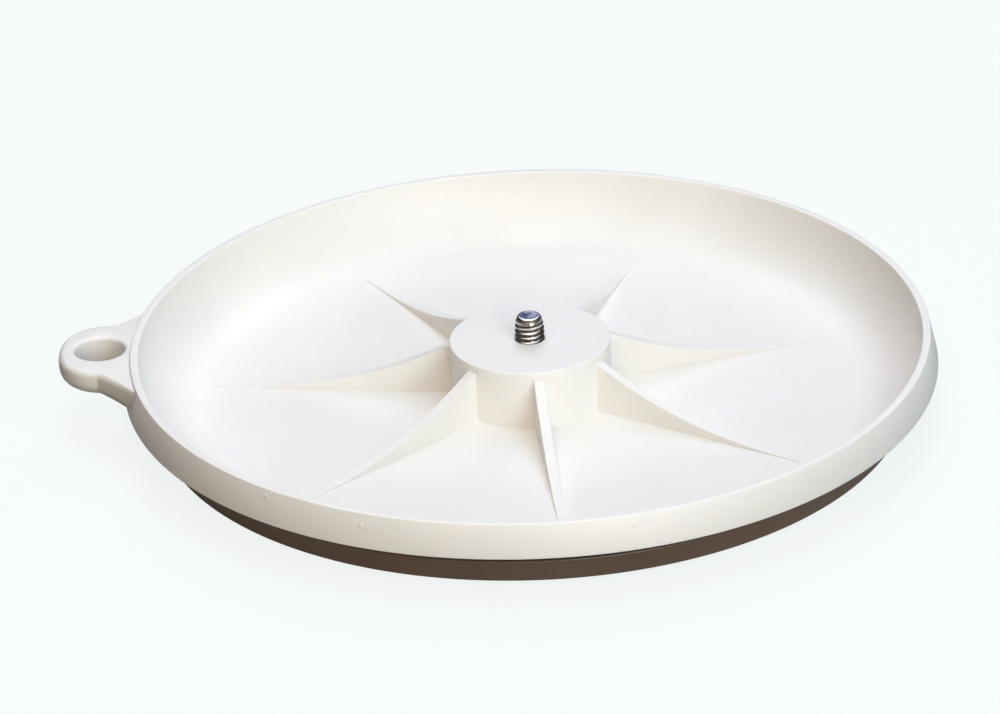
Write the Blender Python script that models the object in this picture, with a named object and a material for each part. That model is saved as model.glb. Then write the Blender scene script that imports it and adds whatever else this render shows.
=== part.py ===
"""Sculpting turntable: a ribbed, coved dish with a hanging lug, turning on a low pressed pan.

A centre bolt runs up through a ball bearing and a captured nut and stands out of the hub, where work is
screwed down. A caged ring of balls in the pan's corner carries the edge of the dish.
The origin is on the turning axis at table height, +Z is up and the lug points along -X.
"""

import math

import bmesh
import bpy
from mathutils import Matrix, Vector

MM = 0.001

# ---------------------------------------------------------------- driving dimensions

# Dish
RIM_RADIUS = 127.0 * MM          # outside, at the top edge
RIM_WIDTH = 2.5 * MM             # flat on top of the rim
RIM_BEVEL = 0.4 * MM
DISH_DEPTH = 20.0 * MM           # rim down to floor
COVE_RADIUS = 20.0 * MM          # inside corner between floor and wall
SHELL = 1.8 * MM                 # floor and cove thickness
SKIRT_DROP = 10.65 * MM          # rim down to the skirt's lower edge
SKIRT_FLARE = 2.4 * MM           # how far that edge stands out past the rim
HUB_WALL = 3.7 * MM
HUB_ROOF = 2.7 * MM              # plastic left above the captured nut
HUB_PLATE = 4.8 * MM             # whole thickness of the hub's top
HUB_EDGE = 0.8 * MM
NUT_BOSS_WALL = 4.0 * MM         # plastic around the nut
NUT_BOSS_DROP = 1.8 * MM         # how far that collar hangs below the hub's top plate

# Ribs
RIB_COUNT = 7
RIB_THICKNESS = 3.0 * MM
RIB_DROP = 2.4 * MM              # hub top down to the rib's highest point
RIB_TIP_HEIGHT = 0.3 * MM
RIB_TIP_INSET = 1.5 * MM         # floor left between the rib's end and the cove
RIB_CURVE = 2.5                  # power of the concave top edge
RIB_PHASE = math.radians(174.2)  # direction of the first rib

# Lug
LUG_OFFSET = 10.1 * MM           # rim to the centre of the hole
LUG_HOLE_RADIUS = 8.0 * MM
LUG_REACH = 5.0 * MM             # rim to the centre of the round end
LUG_WALL = 5.1 * MM              # hole to the tip of the round end
LUG_STEP = 1.0 * MM              # rim top down to lug top
LUG_SHOULDER = 1.0 * MM          # how far the round end is squared at 45 degrees
LUG_THICKNESS = 7.5 * MM
LUG_FLARE = 15.0 * MM            # how far the front flank spreads at the rim
LUG_BACK_FLARE = 9.0 * MM
LUG_TURN = math.radians(76.0)    # the round end's span, tip to front flank
LUG_BACK_TURN = math.radians(87.0)
LUG_FLANK_TURN = math.radians(8.0)
LUG_EDGE = 2.0 * MM
LUG_LOW_EDGE = 1.8 * MM
LUG_HOLE_EDGE = 1.4 * MM

# Centre bolt, 3/8 in, and its jam nut
BOLT_RADIUS = 9.525 / 2 * MM
BOLT_HEAD_HEIGHT = 5.95 * MM
BOLT_HEAD_FLATS = 14.29 * MM
BOLT_REACH = 8.0 * MM            # point above the hub
BOLT_POINT_RADIUS = 3.55 * MM
BOLT_POINT_LENGTH = 5.0 * MM
NUT_HEIGHT = 5.56 * MM
NUT_FLATS = 14.29 * MM
SPACER_THICKNESS = 0.8 * MM

# Pivot bearing, 22.2 x 9.5 x 5.6 mm, open
BEARING_RADIUS = 22.225 / 2 * MM
BEARING_WIDTH = 5.56 * MM
BEARING_BALL_COUNT = 7
BALL_TO_SECTION = 0.3125         # ball radius to the depth from bore to outside
BEARING_LAND = 0.78              # land offset from the pitch circle, in ball radii
CAGE_WALL = 1.5 * MM             # radial thickness of the bearing's cage
CAGE_SKIRT = 0.5 * MM            # how far the cage reaches below the ball centres

# Bearing cup and its fixings
CUP_WALL = 4.2 * MM
CUP_FLANGE_WIDTH = 4.8 * MM
CUP_FLANGE_HEIGHT = 3.0 * MM
CUP_LIP = 1.4 * MM               # cup wall above the circlip
CUP_TO_HUB = 1.5 * MM            # running clearance inside the hub
CUP_SCREW_COUNT = 4
SCREW_RADIUS = 1.5 * MM
SCREW_HEAD_RADIUS = 2.7 * MM
SCREW_HEAD_HEIGHT = 1.7 * MM
HEAD_CLEARANCE = 1.1 * MM        # bolt head corners to the cup and pan
CIRCLIP_THICKNESS = 1.0 * MM
CIRCLIP_WIDTH = 1.9 * MM
CIRCLIP_BITE = 0.8 * MM          # how far it enters the cup's wall
CIRCLIP_GAP = math.radians(26.0)
CIRCLIP_EAR_RADIUS = 1.2 * MM
CIRCLIP_EAR_HOLE = 0.5 * MM

# Base pan
SHEET = 1.2 * MM
PAN_BEND = 1.5 * MM              # outside bend radius
PAN_WALL_LEAN = math.radians(15.8)
FLOOR_GAP = 0.7 * MM             # pan to dish floor
LIP_GAP = 0.4 * MM               # pan lip to the underside of the cove
BEAD_COUNT = 1
BEAD_HALF_WIDTH = 4.0 * MM
BEAD_DEPTH = 0.8 * MM

# Edge race
RACE_BALL_RADIUS = 1.5 * MM
RACE_BALL_COUNT = 12
RACE_WEB = 0.6 * MM              # cage left outside its pockets
RACE_WALL_GAP = 0.6 * MM         # cage to the pan's wall
RACE_CAGE_LIFT = 0.9 * MM        # pan to cage
RACE_CAGE_THICKNESS = 1.1 * MM
RACE_CAGE_GAP = 0.5 * MM         # cage to the underside of the cove

# Feet
FOOT_HEIGHT = 3.0 * MM           # table to pan
FOOT_COUNT = 6
FOOT_RADIUS = 9.0 * MM
FOOT_INSET = 21.2 * MM           # pan edge to the centre of a foot
FOOT_EDGE = 0.6 * MM
CENTRE_FOOT_LAP = 4.0 * MM       # how far it covers the pan round the opening
CENTRE_FOOT_RECESS = 0.6 * MM

# Clearances and facets
SEAT = 0.3 * MM                  # between pieces that rest on each other
SINK = 0.6 * MM                  # depth to which fused forms enter each other
FACET_COUNT = 70                 # facets of the large turned pieces
FACET_COUNT_MEDIUM = 42
FACET_COUNT_SMALL = 30
FACET_COUNT_TINY = 16
ARC_STEP_COUNT = 8

# ---------------------------------------------------------------- worked-out sizes

pan_low = FOOT_HEIGHT
pan_floor = pan_low + SHEET
dish_low = pan_floor + FLOOR_GAP
dish_floor = dish_low + SHELL
rim_top = dish_floor + DISH_DEPTH
skirt_low = rim_top - SKIRT_DROP
skirt_radius = RIM_RADIUS + SKIRT_FLARE
lug_radius = LUG_OFFSET + LUG_HOLE_RADIUS + LUG_WALL - LUG_REACH
lug_low = rim_top - LUG_STEP - LUG_THICKNESS

cove_above_rim = max(0.0, COVE_RADIUS - DISH_DEPTH)
cove_reach = math.sqrt(COVE_RADIUS**2 - cove_above_rim**2)
cove_centre = (RIM_RADIUS - RIM_WIDTH - cove_reach, dish_floor + COVE_RADIUS)
cove_outside = COVE_RADIUS + SHELL

head_corner = BOLT_HEAD_FLATS / math.sqrt(3.0)
head_bore = head_corner + HEAD_CLEARANCE
head_top = pan_low + BOLT_HEAD_HEIGHT
bolt_hole = BOLT_RADIUS + SEAT

ring_low = head_top + SPACER_THICKNESS + 2.0 * SEAT
ring_top = ring_low + BEARING_WIDTH
section = BEARING_RADIUS - BOLT_RADIUS
ball_radius = BALL_TO_SECTION * section
pitch_radius = (BEARING_RADIUS + BOLT_RADIUS) / 2.0
inner_land = pitch_radius - BEARING_LAND * ball_radius
outer_land = pitch_radius + BEARING_LAND * ball_radius
ball_height = (ring_low + ring_top) / 2.0

nut_low = ring_top + SPACER_THICKNESS + 2.0 * SEAT
nut_top = nut_low + NUT_HEIGHT
hub_top = nut_top + SEAT + HUB_ROOF
hub_plate_low = hub_top - HUB_PLATE
nut_boss_radius = NUT_FLATS / math.sqrt(3.0) + NUT_BOSS_WALL

cup_low = pan_floor + SEAT
cup_seat = BEARING_RADIUS + SEAT
cup_radius = cup_seat + CUP_WALL
flange_radius = cup_radius + CUP_FLANGE_WIDTH
flange_top = cup_low + CUP_FLANGE_HEIGHT
clip_low = ring_top + SEAT
cup_top = clip_low + CIRCLIP_THICKNESS + SEAT + CUP_LIP
screw_circle = (cup_radius + flange_radius) / 2.0
hub_cavity = flange_radius + CUP_TO_HUB
hub_radius = hub_cavity + HUB_WALL

race_height = pan_floor + SEAT + RACE_BALL_RADIUS
race_reach = cove_outside + SEAT + RACE_BALL_RADIUS
race_radius = cove_centre[0] + math.sqrt(race_reach**2 - (cove_centre[1] - race_height) ** 2)
pan_lean = math.tan(PAN_WALL_LEAN)
race_edge = race_radius + RACE_BALL_RADIUS + SEAT + RACE_WEB
wall_across = SHEET / math.cos(PAN_WALL_LEAN)
pan_radius = race_edge + RACE_WALL_GAP + wall_across - pan_lean * (race_height - pan_low)
foot_circle = pan_radius - FOOT_INSET


# ---------------------------------------------------------------- tools

def finish(name, colour, roughness, metallic=0.0):
    """A material with one plain surface."""
    material = bpy.data.materials.new(name)
    material.use_nodes = True
    shader = material.node_tree.nodes["Principled BSDF"]
    shader.inputs["Base Color"].default_value = (*colour, 1.0)
    shader.inputs["Roughness"].default_value = roughness
    shader.inputs["Metallic"].default_value = metallic
    material.diffuse_color = (*colour, 1.0)
    return material


def arc(centre, radius, start, end, steps):
    """Points on an arc in a plane, both ends included, angles in degrees."""
    angles = [math.radians(start + (end - start) * i / steps) for i in range(steps + 1)]
    return [(centre[0] + radius * math.cos(a), centre[1] + radius * math.sin(a)) for a in angles]


def distinct(points):
    """A closed outline without points that coincide."""
    kept = []
    for point in points:
        if not kept or math.dist(point, kept[-1]) > 1e-6:
            kept.append(point)
    if math.dist(kept[0], kept[-1]) <= 1e-6:
        kept.pop()
    return kept


def add_object(name, mesh, material=None, parent=None):
    piece = bpy.data.objects.new(name, mesh)
    bpy.context.scene.collection.objects.link(piece)
    if material:
        mesh.materials.clear()
        mesh.materials.append(material)
    piece.parent = parent
    return piece


def mesh_from(name, work):
    """Close a working mesh, turn its faces outward and store it."""
    bmesh.ops.remove_doubles(work, verts=work.verts, dist=1e-6)
    bmesh.ops.dissolve_degenerate(work, edges=work.edges, dist=1e-7)
    bmesh.ops.recalc_face_normals(work, faces=work.faces)
    mesh = bpy.data.meshes.new(name)
    work.to_mesh(mesh)
    work.free()
    return mesh


def turned(name, outline, steps=FACET_COUNT_SMALL):
    """A closed outline of (radius, height) points spun once round the Z axis."""
    work = bmesh.new()
    points = [work.verts.new((radius, 0.0, height)) for radius, height in distinct(outline)]
    edges = [
        work.edges.new((points[i - 1], points[i]))
        for i in range(len(points))
        if max(points[i - 1].co.x, points[i].co.x) > 0.0
    ]
    bmesh.ops.spin(
        work, geom=points + edges, cent=(0, 0, 0), axis=(0, 0, 1),
        angle=2.0 * math.pi, steps=steps, use_merge=True,
    )
    return mesh_from(name, work)


def stacked(name, levels):
    """A body skinned over (height, outline) levels, each outline with as many (x, y) points."""
    work = bmesh.new()
    rings = [[work.verts.new((x, y, height)) for x, y in outline] for height, outline in levels]
    work.faces.new(rings[0])
    work.faces.new(rings[-1])
    for below, above in zip(rings, rings[1:]):
        for i in range(len(below)):
            work.faces.new((below[i - 1], below[i], above[i], above[i - 1]))
    return mesh_from(name, work)


def extruded(name, outline, low, high):
    """A closed outline of (x, y) points raised from low to high."""
    return stacked(name, [(low, outline), (high, outline)])


def ball_mesh(name, radius):
    work = bmesh.new()
    bmesh.ops.create_uvsphere(work, u_segments=10, v_segments=6, radius=radius)
    return mesh_from(name, work)


def combine(piece, tool_mesh, operation, matrix=None):
    """Join, cut or trim a piece with a tool, which is used up."""
    tool = add_object("tool", tool_mesh)
    if matrix:
        tool.matrix_world = matrix
    step = piece.modifiers.new(operation, "BOOLEAN")
    step.operation = operation
    step.solver = "EXACT"
    step.object = tool
    bpy.context.view_layer.update()
    result = bpy.data.meshes.new_from_object(
        piece.evaluated_get(bpy.context.evaluated_depsgraph_get())
    )
    piece.modifiers.clear()
    used = piece.data
    piece.data = result
    result.name = used.name
    bpy.data.meshes.remove(used)
    bpy.data.objects.remove(tool)
    bpy.data.meshes.remove(tool_mesh)


def smooth(piece, angle=35.0):
    """Merge stray points left by cuts and shade the round faces smooth."""
    work = bmesh.new()
    work.from_mesh(piece.data)
    bmesh.ops.remove_doubles(work, verts=work.verts, dist=5e-6)
    work.to_mesh(piece.data)
    work.free()
    piece.data.shade_smooth()
    piece.data.set_sharp_from_angle(angle=math.radians(angle))


def around(count, radius, phase=0.0):
    """Angles and places of a ring of equal pieces."""
    for index in range(count):
        angle = phase + 2.0 * math.pi * index / count
        yield index + 1, angle, (radius * math.cos(angle), radius * math.sin(angle))


def bar(radius, low, high):
    """Outline of a solid round bar."""
    return [(0.0, low), (radius, low), (radius, high), (0.0, high)]


def tube(inside, outside, low, high):
    """Outline of a plain ring."""
    return [(inside, low), (outside, low), (outside, high), (inside, high)]


def plain_hole(piece, radius, low, high, matrix=None):
    """Drill a piece right through between two heights."""
    combine(piece, turned("hole", bar(radius, low - SEAT, high + SEAT), 12), "DIFFERENCE", matrix)


def hexagon(flats):
    return [
        (flats / math.sqrt(3.0) * math.cos(math.radians(60 * i)),
         flats / math.sqrt(3.0) * math.sin(math.radians(60 * i)))
        for i in range(6)
    ]


# ---------------------------------------------------------------- dish

def cove_underside(radius):
    """Height of the dish's underside at a radius on the cove."""
    reach = min(abs(radius - cove_centre[0]), cove_outside)
    return cove_centre[1] - math.sqrt(cove_outside**2 - reach**2)


def dish_outline():
    turn = -math.degrees(math.asin(max(0.0, cove_centre[1] - skirt_low) / cove_outside))
    top_turn = -math.degrees(math.asin(cove_above_rim / COVE_RADIUS))
    outside = arc(cove_centre, cove_outside, -90.0, turn, ARC_STEP_COUNT - 2)
    lean = SKIRT_FLARE / SKIRT_DROP
    return [
        (hub_cavity, dish_low),
        *outside,
        (outside[-1][0], skirt_low),
        (skirt_radius - RIM_BEVEL, skirt_low),
        (skirt_radius - RIM_BEVEL * lean, skirt_low + RIM_BEVEL),
        (RIM_RADIUS + RIM_BEVEL * lean, rim_top - RIM_BEVEL),
        (RIM_RADIUS - RIM_BEVEL, rim_top),
        (RIM_RADIUS - RIM_WIDTH + RIM_BEVEL, rim_top),
        (RIM_RADIUS - RIM_WIDTH, rim_top - RIM_BEVEL),
        *[point for point in arc(cove_centre, COVE_RADIUS, top_turn, -90.0, ARC_STEP_COUNT)
          if point[1] < rim_top - 2.0 * RIM_BEVEL],
        (hub_radius, dish_floor),
        (hub_radius, hub_top - HUB_EDGE),
        *arc((hub_radius - HUB_EDGE, hub_top - HUB_EDGE), HUB_EDGE, 0.0, 90.0, 2),
        (bolt_hole, hub_top),
        (bolt_hole, hub_plate_low - NUT_BOSS_DROP),
        (nut_boss_radius, hub_plate_low - NUT_BOSS_DROP),
        (nut_boss_radius, hub_plate_low),
        (hub_cavity, hub_plate_low),
    ]


def rib_mesh(angle):
    """An upright rib: a deep root in the hub, a concave top edge and a shallow tip on the floor."""
    root = hub_radius - HUB_WALL / 2.0
    tip = cove_centre[0] - RIB_TIP_INSET
    peak = hub_top - RIB_DROP - dish_floor
    outline = [(tip, dish_floor - SINK), (tip, dish_floor + RIB_TIP_HEIGHT)]
    for step in range(1, 13):
        share = step / 12
        rise = RIB_TIP_HEIGHT + (peak - RIB_TIP_HEIGHT) * share**RIB_CURVE
        outline.append((tip + (hub_radius - tip) * share, dish_floor + rise))
    outline += [(root, outline[-1][1]), (root, dish_floor - SINK)]
    work = bmesh.new()
    side = work.faces.new([work.verts.new((r, -RIB_THICKNESS / 2.0, z)) for r, z in outline])
    raised = bmesh.ops.extrude_face_region(work, geom=[side])
    moved = [item for item in raised["geom"] if isinstance(item, bmesh.types.BMVert)]
    bmesh.ops.translate(work, verts=moved, vec=(0, RIB_THICKNESS, 0))
    bmesh.ops.rotate(work, verts=work.verts, cent=(0, 0, 0), matrix=Matrix.Rotation(angle, 3, "Z"))
    return mesh_from("rib", work)


def flank(start, end, turn, steps):
    """A concave flank: an arc from start to end that turns by the given angle."""
    start, end = Vector(start), Vector(end)
    chord = end - start
    radius = chord.length / (2.0 * math.sin(turn / 2.0))
    across = Vector((-chord.y, chord.x)).normalized()
    centre = (start + end) / 2.0 + across * radius * math.cos(turn / 2.0)
    first = start - centre
    return [tuple(centre + Matrix.Rotation(turn * i / steps, 2) @ first) for i in range(steps + 1)]


def lug_end(angle, inset):
    """A point of the lug's squared round end, at an angle from its tip."""
    ring = lug_radius + LUG_SHOULDER * math.sin(2.0 * angle) ** 2 - inset
    return (RIM_RADIUS + LUG_REACH + ring * math.cos(angle), ring * math.sin(angle))


def lug_side(turn, flare, inset):
    """A flank of the lug, from the rim up to its round end."""
    spread = lug_radius + flare - inset
    foot = (math.sqrt(RIM_RADIUS**2 - spread**2), spread)
    return flank(foot, lug_end(turn, inset), LUG_FLANK_TURN, 4)


def lug_outline(inset):
    """A round end whose flanks spread into the skirt, drawn in by an inset."""
    front = lug_side(LUG_TURN, LUG_FLARE, inset)
    back = lug_side(LUG_BACK_TURN, LUG_BACK_FLARE, inset)
    turn = LUG_TURN + LUG_BACK_TURN
    root = RIM_RADIUS - RIM_WIDTH / 2.0
    span = [math.degrees(math.asin(side[0][1] / RIM_RADIUS)) for side in (back, front)]
    return [
        *front,
        *[lug_end(LUG_TURN - turn * i / 26, inset) for i in range(1, 26)],
        *[(x, -y) for x, y in reversed(back)],
        *arc((0.0, 0.0), root, -span[0], span[1], 8),
    ]


def lug_mesh():
    """The hanging lug, its upper and lower edges rounded."""
    top = rim_top - LUG_STEP
    levels = [
        (lug_low + LUG_LOW_EDGE + rise, lug_outline(inset))
        for inset, rise in arc((LUG_LOW_EDGE, 0.0), LUG_LOW_EDGE, 270.0, 180.0, 3)
    ]
    levels += [
        (top - LUG_EDGE + rise, lug_outline(inset))
        for inset, rise in arc((LUG_EDGE, 0.0), LUG_EDGE, 180.0, 90.0, 4)
    ]
    mesh = stacked("lug", levels)
    mesh.transform(Matrix.Rotation(math.pi, 4, "Z"))
    return mesh


def lug_hole_mesh():
    """A cutter for the lug's hole, flared to round both of its edges."""
    low, high = lug_low, rim_top - LUG_STEP
    edge = LUG_HOLE_EDGE
    outline = [
        (0.0, low - 1.0 * MM),
        (LUG_HOLE_RADIUS + edge, low - 1.0 * MM),
        *arc((LUG_HOLE_RADIUS + edge, low + edge), edge, 270.0, 180.0, 3),
        *arc((LUG_HOLE_RADIUS + edge, high - edge), edge, 180.0, 90.0, 3),
        (LUG_HOLE_RADIUS + edge, high + 1.0 * MM),
        (0.0, high + 1.0 * MM),
    ]
    mesh = turned("lug_hole", outline, 28)
    mesh.transform(Matrix.Translation((-RIM_RADIUS - LUG_OFFSET, 0.0, 0.0)))
    return mesh


def build_dish(parent):
    material = finish("ivory_print", (0.84, 0.80, 0.73), 0.42)
    dish = add_object("dish", turned("dish", dish_outline(), FACET_COUNT), material, parent)
    for _, angle, _ in around(RIB_COUNT, 0.0, RIB_PHASE):
        combine(dish, rib_mesh(angle), "UNION")
    combine(dish, lug_mesh(), "UNION")
    combine(dish, lug_hole_mesh(), "DIFFERENCE")
    pocket = extruded("pocket", hexagon(NUT_FLATS + 2.0 * SEAT), nut_low, nut_top + SEAT)
    combine(dish, pocket, "DIFFERENCE")
    smooth(dish)


# ---------------------------------------------------------------- bolt, nut and spacers

def hexagonal(name, flats, low, high):
    """A hexagon bar with its outer corners chamfered at both ends."""
    stock = add_object(name, extruded(name, hexagon(flats), low, high))
    corner = flats / math.sqrt(3.0)
    face = flats / 2.0
    slope = (corner - face) * math.tan(math.radians(30.0))
    trim = [
        (0.0, low),
        (face, low),
        (corner, low + slope),
        (corner, high - slope),
        (face, high),
        (0.0, high),
    ]
    combine(stock, turned("trim", trim), "INTERSECT")
    return stock


def build_bolt(parent):
    tip = hub_top + BOLT_REACH
    bolt = hexagonal("centre_bolt", BOLT_HEAD_FLATS, pan_low, head_top)
    bolt.parent = parent
    shank = [
        (0.0, head_top - SINK),
        (BOLT_RADIUS, head_top - SINK),
        (BOLT_RADIUS, tip - BOLT_POINT_LENGTH),
        (BOLT_POINT_RADIUS + 0.75 * (BOLT_RADIUS - BOLT_POINT_RADIUS), tip - 0.6 * BOLT_POINT_LENGTH),
        (BOLT_POINT_RADIUS, tip - 0.1 * BOLT_POINT_LENGTH),
        (BOLT_POINT_RADIUS - 0.1 * BOLT_POINT_LENGTH, tip),
        (0.0, tip),
    ]
    combine(bolt, turned("shank", shank), "UNION")
    bolt.data.materials.clear()
    bolt.data.materials.append(finish("plated_bolt", (0.55, 0.55, 0.58), 0.25, 1.0))
    smooth(bolt)


def build_nut(parent):
    nut = hexagonal("clamp_nut", NUT_FLATS, nut_low, nut_top)
    nut.parent = parent
    combine(nut, turned("bore", bar(bolt_hole, nut_low - SEAT, nut_top + SEAT)), "DIFFERENCE")
    nut.data.materials.clear()
    nut.data.materials.append(finish("plated_nut", (0.60, 0.60, 0.62), 0.3, 1.0))
    smooth(nut)


def build_spacers(parent):
    material = finish("shim_steel", (0.62, 0.62, 0.63), 0.3, 1.0)
    for name, low in (("spacer_lower", head_top + SEAT), ("spacer_upper", ring_top + SEAT)):
        outline = tube(bolt_hole, inner_land - SEAT, low, low + SPACER_THICKNESS)
        smooth(add_object(name, turned(name, outline), material, parent))


# ---------------------------------------------------------------- pivot bearing

def ring_outline(bore_side, groove_side, facing):
    """One bearing ring: a plain face, two lands and a groove for the balls. Facing is 1 outward."""
    groove = ball_radius + SEAT
    reach = abs(groove_side - pitch_radius)
    half = math.degrees(math.acos(reach / groove))
    middle = 180.0 if facing > 0 else 0.0
    track = arc((pitch_radius, ball_height), groove, middle + facing * half, middle - facing * half, 4)
    return [
        (bore_side, ring_low),
        (groove_side, ring_low),
        *track,
        (groove_side, ring_top),
        (bore_side, ring_top),
    ]


def build_bearing(base, spinner, rolling):
    steel = finish("bearing_steel", (0.66, 0.66, 0.67), 0.18, 1.0)
    inner = turned("bearing_inner_ring", ring_outline(bolt_hole, inner_land, 1))
    smooth(add_object("bearing_inner_ring", inner, steel, spinner))
    outer = turned("bearing_outer_ring", ring_outline(BEARING_RADIUS, outer_land, -1))
    smooth(add_object("bearing_outer_ring", outer, steel, base))

    low, high = ball_height - CAGE_SKIRT, ring_top
    inside, outside = pitch_radius - CAGE_WALL / 2.0, pitch_radius + CAGE_WALL / 2.0
    cage_mesh = turned("bearing_cage", tube(inside, outside, low, high), FACET_COUNT_MEDIUM)
    pressed = finish("cage_steel", (0.58, 0.56, 0.52), 0.35, 1.0)
    cage = add_object("bearing_cage", cage_mesh, pressed, rolling)
    ball = ball_mesh("bearing_ball", ball_radius)
    ball.materials.append(finish("ball_steel", (0.70, 0.70, 0.71), 0.1, 1.0))
    for number, angle, (x, y) in around(BEARING_BALL_COUNT, pitch_radius):
        place = Matrix.Translation((x, y, ball_height)) @ Matrix.Rotation(angle, 4, "Z")
        combine(cage, ball_mesh("pocket", ball_radius + SEAT), "DIFFERENCE", place)
        piece = add_object(f"bearing_ball_{number}", ball, None, rolling)
        piece.location = (x, y, ball_height)
        piece.rotation_euler.z = angle
    smooth(cage)
    ball.shade_smooth()


# ---------------------------------------------------------------- bearing cup, circlip and screws

def build_cup(parent):
    clip_high = clip_low + CIRCLIP_THICKNESS
    groove = cup_seat + CIRCLIP_BITE + SEAT
    outline = [
        (head_bore, cup_low),
        (flange_radius, cup_low),
        (flange_radius, flange_top),
        (cup_radius, flange_top),
        (cup_radius, cup_top),
        (cup_seat, cup_top),
        (cup_seat, clip_high + SEAT),
        (groove, clip_high + SEAT),
        (groove, clip_low - SEAT),
        (cup_seat, clip_low - SEAT),
        (cup_seat, ring_low - SEAT),
        (outer_land, ring_low - SEAT),
        (outer_land, head_top + SEAT),
        (head_bore, head_top + SEAT),
    ]
    alloy = finish("cup_alloy", (0.72, 0.72, 0.73), 0.35, 1.0)
    cup = add_object("bearing_cup", turned("bearing_cup", outline, FACET_COUNT_MEDIUM), alloy, parent)
    for _, _, (x, y) in around(CUP_SCREW_COUNT, screw_circle, math.pi / CUP_SCREW_COUNT):
        plain_hole(cup, SCREW_RADIUS + SEAT, cup_low, flange_top, Matrix.Translation((x, y, 0.0)))
    smooth(cup)


def build_circlip(parent):
    outside = cup_seat + CIRCLIP_BITE
    inside = outside - CIRCLIP_WIDTH
    half = math.degrees(CIRCLIP_GAP) / 2.0
    low, high = clip_low, clip_low + CIRCLIP_THICKNESS
    outline = arc((0, 0), outside, half, 360.0 - half, 30) + arc((0, 0), inside, 360.0 - half, half, 30)
    clip = add_object("retaining_ring", extruded("retaining_ring", outline, low, high))
    ear_circle = inside + CIRCLIP_EAR_RADIUS / 3.0
    for side in (-1, 1):
        angle = side * (math.radians(half) + 0.6 * CIRCLIP_EAR_RADIUS / ear_circle)
        place = Matrix.Translation((ear_circle * math.cos(angle), ear_circle * math.sin(angle), 0.0))
        combine(clip, turned("ear", bar(CIRCLIP_EAR_RADIUS, low, high), FACET_COUNT_TINY), "UNION", place)
        plain_hole(clip, CIRCLIP_EAR_HOLE, low, high, place)
    clip.data.materials.clear()
    clip.data.materials.append(finish("spring_steel", (0.25, 0.25, 0.26), 0.35, 1.0))
    clip.parent = parent
    smooth(clip)


def build_screws(parent):
    head_high = pan_low - SEAT
    head_low = head_high - SCREW_HEAD_HEIGHT
    outline = [
        (0.0, head_low),
        (SCREW_HEAD_RADIUS * 0.8, head_low),
        (SCREW_HEAD_RADIUS, head_low + SCREW_HEAD_HEIGHT * 0.5),
        (SCREW_HEAD_RADIUS, head_high),
        (SCREW_RADIUS, head_high),
        (SCREW_RADIUS, flange_top - SEAT),
        (0.0, flange_top - SEAT),
    ]
    mesh = turned("cup_screw", outline, FACET_COUNT_TINY)
    mesh.materials.append(finish("screw_steel", (0.50, 0.50, 0.52), 0.3, 1.0))
    for number, _, (x, y) in around(CUP_SCREW_COUNT, screw_circle, math.pi / CUP_SCREW_COUNT):
        piece = add_object(f"cup_screw_{number}", mesh, None, parent)
        piece.location = (x, y, 0.0)
    smooth(piece)


# ---------------------------------------------------------------- base pan

def pan_lip_rise():
    """Height of the wall's inner face at which it comes within LIP_GAP of the cove."""
    reach = cove_outside + LIP_GAP
    start = Vector((pan_radius - wall_across, pan_low)) - Vector(cove_centre)
    run = Vector((pan_lean, 1.0))
    a, b, c = run.dot(run), start.dot(run), start.dot(start) - reach**2
    return (-b - math.sqrt(b * b - a * c)) / a


def pan_outline():
    rise = pan_lip_rise()
    lean = math.degrees(PAN_WALL_LEAN)
    corner_radius = pan_radius + pan_lean * PAN_BEND - PAN_BEND / math.cos(PAN_WALL_LEAN)
    corner = (corner_radius, pan_low + PAN_BEND)
    inner_bend = PAN_BEND - SHEET
    beads_from, beads_to = flange_radius, foot_circle - FOOT_RADIUS
    low, high = [], []
    for index in range(BEAD_COUNT):
        middle = beads_from + (beads_to - beads_from) * (index + 1) / (BEAD_COUNT + 1)
        for offset, drop in ((-1.0, 0.0), (-0.6, 1.0), (0.6, 1.0), (1.0, 0.0)):
            radius = middle + offset * BEAD_HALF_WIDTH
            low.append((radius, pan_low - drop * BEAD_DEPTH))
            high.append((radius, pan_floor - drop * BEAD_DEPTH))
    return [
        (head_bore, pan_low),
        *low,
        *arc(corner, PAN_BEND, -90.0, -lean, 4),
        (pan_radius + pan_lean * rise, pan_low + rise),
        (pan_radius - wall_across + pan_lean * rise, pan_low + rise),
        *arc(corner, inner_bend, -lean, -90.0, 2),
        *reversed(high),
        (head_bore, pan_floor),
    ]


def build_pan(parent):
    material = finish("pan_enamel", (0.085, 0.062, 0.047), 0.4)
    pan = add_object("base_pan", turned("base_pan", pan_outline(), FACET_COUNT), material, parent)
    for _, _, (x, y) in around(CUP_SCREW_COUNT, screw_circle, math.pi / CUP_SCREW_COUNT):
        plain_hole(pan, SCREW_RADIUS + SEAT, pan_low, pan_floor, Matrix.Translation((x, y, 0.0)))
    smooth(pan)


# ---------------------------------------------------------------- edge race

def build_race(parent):
    low = pan_floor + RACE_CAGE_LIFT
    high = low + RACE_CAGE_THICKNESS
    rise = cove_centre[1] - high - RACE_CAGE_GAP
    inside = cove_centre[0] + math.sqrt(max(cove_outside**2 - rise**2, 0.0))
    facets = 4 * RACE_BALL_COUNT
    nylon = finish("cage_nylon", (0.80, 0.78, 0.72), 0.5)
    cage_mesh = turned("race_cage", tube(inside, race_edge, low, high), facets)
    cage = add_object("race_cage", cage_mesh, nylon, parent)
    ball = ball_mesh("race_ball", RACE_BALL_RADIUS)
    ball.materials.append(finish("race_steel", (0.70, 0.70, 0.71), 0.12, 1.0))
    pocket = RACE_BALL_RADIUS + SEAT
    for number, angle, (x, y) in around(RACE_BALL_COUNT, race_radius, math.pi / facets):
        place = Matrix.Translation((x, y, 0.0)) @ Matrix.Rotation(angle, 4, "Z")
        plain_hole(cage, pocket, low, high, place)
        piece = add_object(f"race_ball_{number}", ball, None, parent)
        piece.location = (x, y, race_height)
        piece.rotation_euler.z = angle
    smooth(cage)
    ball.shade_smooth()


# ---------------------------------------------------------------- feet

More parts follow.
